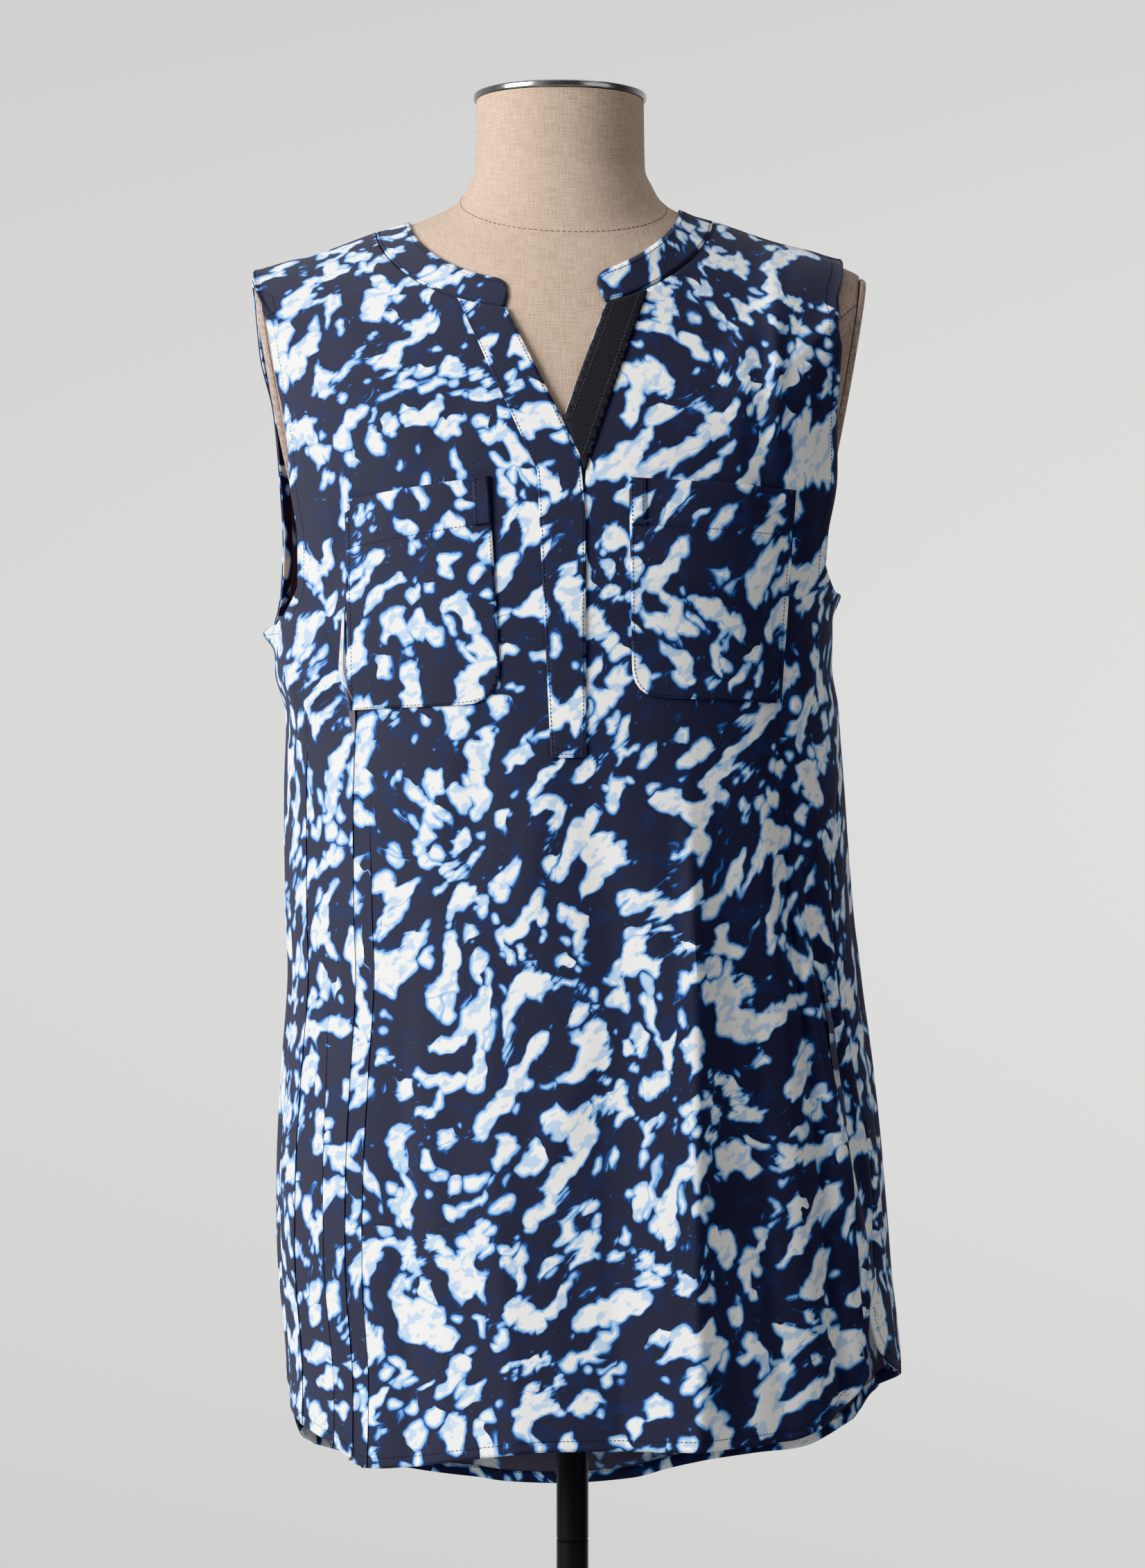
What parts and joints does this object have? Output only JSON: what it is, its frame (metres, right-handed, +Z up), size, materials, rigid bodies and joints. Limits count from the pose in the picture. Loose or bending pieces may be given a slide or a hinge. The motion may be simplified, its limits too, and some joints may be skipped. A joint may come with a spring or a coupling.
{
  "type": "tunic top on a dress form",
  "caption": "Sleeveless printed tunic top with a band collar, V placket, chest patch pockets and a long curved hem, worn by a limbless dress form on a round-based stand.",
  "frame": {"origin": "centre of the underside of the stand's base disc, on the pole's axis, where the base meets the floor", "axes": "+Z up along the pole; the garment's front faces -Y; +X is the wearer's left, which is the right-hand side seen from the front"},
  "size_m": [0.4237, 0.38, 1.5],
  "materials": {
    "print_cloth": "soft woven tunic cloth, navy with white and blue blotches, matt",
    "trim_cloth": "the same printed cloth, doubled and pressed",
    "tape": "black ribbed ribbon",
    "linen": "coarse beige linen cover, matt",
    "arm_cover": "brown cloth-covered board, matt",
    "cap_metal": "polished metal cap",
    "black_steel": "satin black paint"
  },
  "bodies": {
    "root": {"front": "print_cloth", "back": "print_cloth", "collar_band": "trim_cloth", "placket_over": "trim_cloth", "placket_under": "trim_cloth", "neck_tape": "tape", "pocket_left": "trim_cloth", "pocket_right": "trim_cloth", "form_torso": "linen", "arm_plate_left": "arm_cover", "arm_plate_right": "arm_cover", "neck_cap": "cap_metal", "pole": "black_steel", "pole_flange": "black_steel", "base_socket": "black_steel", "base_disc": "black_steel"}
  },
  "joints": []
}
